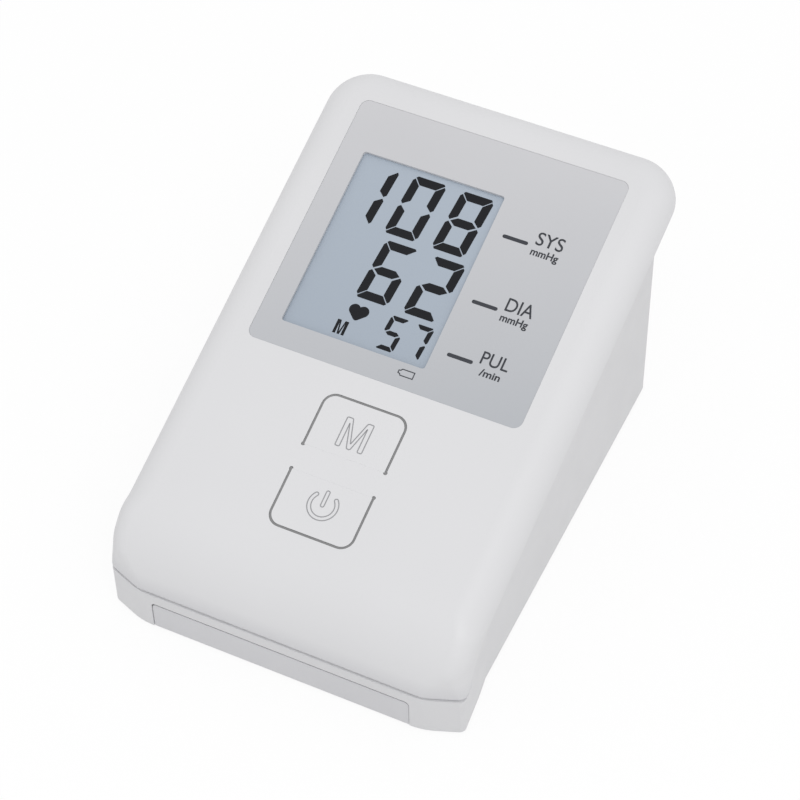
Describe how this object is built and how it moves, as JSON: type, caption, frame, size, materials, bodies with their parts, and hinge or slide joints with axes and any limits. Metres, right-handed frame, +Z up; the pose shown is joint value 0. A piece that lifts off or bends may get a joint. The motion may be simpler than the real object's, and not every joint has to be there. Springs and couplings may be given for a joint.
{
  "type": "desktop upper-arm blood pressure monitor",
  "caption": "Wedge-shaped desktop blood pressure monitor with a sloping display panel, two living-hinge keys, a sliding battery door and an air socket for a cuff hose.",
  "frame": {"origin": "middle of the footprint, on the surface that the rubber feet stand on", "axes": "+X to the reader's right, +Y from the front wall to the rear, +Z up"},
  "size_m": [0.1056, 0.1534, 0.0777],
  "materials": {
    "housing_white": "fine satin moulded surface",
    "base_white": "fine satin moulded surface",
    "panel_grey": "smooth printed film",
    "lcd_glass": "grey-blue reflective display behind glass",
    "inner_plastic": "plain moulded plastic",
    "black_plastic": "matt black",
    "circuit_board": "solder-masked board",
    "elastomer": "soft conductive strip",
    "foot_rubber": "matt",
    "tube_silicone": "translucent silicone",
    "steel": "plated",
    "spring_steel": "nickel plated",
    "copper_winding": "enamelled wire under tape",
    "cell_jacket": "plain printed film, no marks"
  },
  "bodies": {
    "housing": {"front_cover": "housing_white", "base_housing": "base_white", "display_panel": "panel_grey", "lcd_glass": "lcd_glass", "lcd_frame": "inner_plastic", "contact_strip_lower": "elastomer", "contact_strip_upper": "elastomer", "main_board": "circuit_board", "processor_chip": "black_plastic", "buzzer": "black_plastic", "pressure_sensor": "black_plastic", "memory_switch_body": "steel", "power_switch_body": "steel", "pump_motor": "steel", "pump_head": "inner_plastic", "pump_sleeve": "elastomer", "pump_strap": "inner_plastic", "pump_screws": "steel", "case_screws_front": "steel", "case_screws_rear": "steel", "board_screws": "steel", "air_manifold": "inner_plastic", "air_socket": "inner_plastic", "tube_to_pump": "tube_silicone", "tube_to_valve": "tube_silicone", "tube_to_sensor": "tube_silicone", "valve_yoke": "steel", "valve_coil": "copper_winding", "valve_nozzle": "inner_plastic", "contact_plates_front": "spring_steel", "contact_plates_rear": "spring_steel", "battery_springs": "spring_steel", "battery_cell_1": "cell_jacket", "rubber_foot_1": "foot_rubber", "battery_cell_2": "cell_jacket", "rubber_foot_2": "foot_rubber", "battery_cell_3": "cell_jacket", "rubber_foot_3": "foot_rubber", "battery_cell_4": "cell_jacket", "rubber_foot_4": "foot_rubber"},
    "memory_key": {"memory_key": "housing_white"},
    "power_key": {"power_key": "housing_white"},
    "memory_switch_stem": {"memory_switch_stem": "black_plastic"},
    "power_switch_stem": {"power_switch_stem": "black_plastic"},
    "battery_door": {"battery_door": "base_white"},
    "pump_rotor": {"pump_rotor": "steel"},
    "valve_plunger": {"valve_plunger": "steel"}
  },
  "joints": [
    {"name": "memory_key_press", "type": "hinge", "parent": "housing", "child": "memory_key", "pos_m": [0, -0.03433, 0.04546], "axis": [-1, 0, 0], "range_deg": [0, 2], "stiffness_Nm_per_rad": 0.5},
    {"name": "memory_switch_travel", "type": "slide", "parent": "housing", "child": "memory_switch_stem", "axis": [0, 0.3, -0.9539], "range_m": [0, 0.000429]},
    {"name": "power_key_press", "type": "hinge", "parent": "housing", "child": "power_key", "pos_m": [0, -0.0416, 0.04317], "axis": [1, 0, 0], "range_deg": [0, 2], "stiffness_Nm_per_rad": 0.5},
    {"name": "power_switch_travel", "type": "slide", "parent": "housing", "child": "power_switch_stem", "axis": [0, 0.3, -0.9539], "range_m": [0, 0.000429]},
    {"name": "battery_door_slide", "type": "slide", "parent": "housing", "child": "battery_door", "axis": [0, -1, 0], "range_m": [0, 0.058]},
    {"name": "pump_rotor_spin", "type": "hinge", "parent": "housing", "child": "pump_rotor", "pos_m": [0.0035, 0.0342, 0.022], "axis": [1, 0, 0], "continuous": true},
    {"name": "valve_plunger_slide", "type": "slide", "parent": "housing", "child": "valve_plunger", "axis": [0, 1, 0], "range_m": [0, 0.0008], "stiffness_N_per_m": 300}
  ],
  "couplings": [
    {"joint": "memory_switch_travel", "follows": "memory_key_press", "m_per_rad": 0.012},
    {"joint": "power_switch_travel", "follows": "power_key_press", "m_per_rad": 0.012}
  ]
}
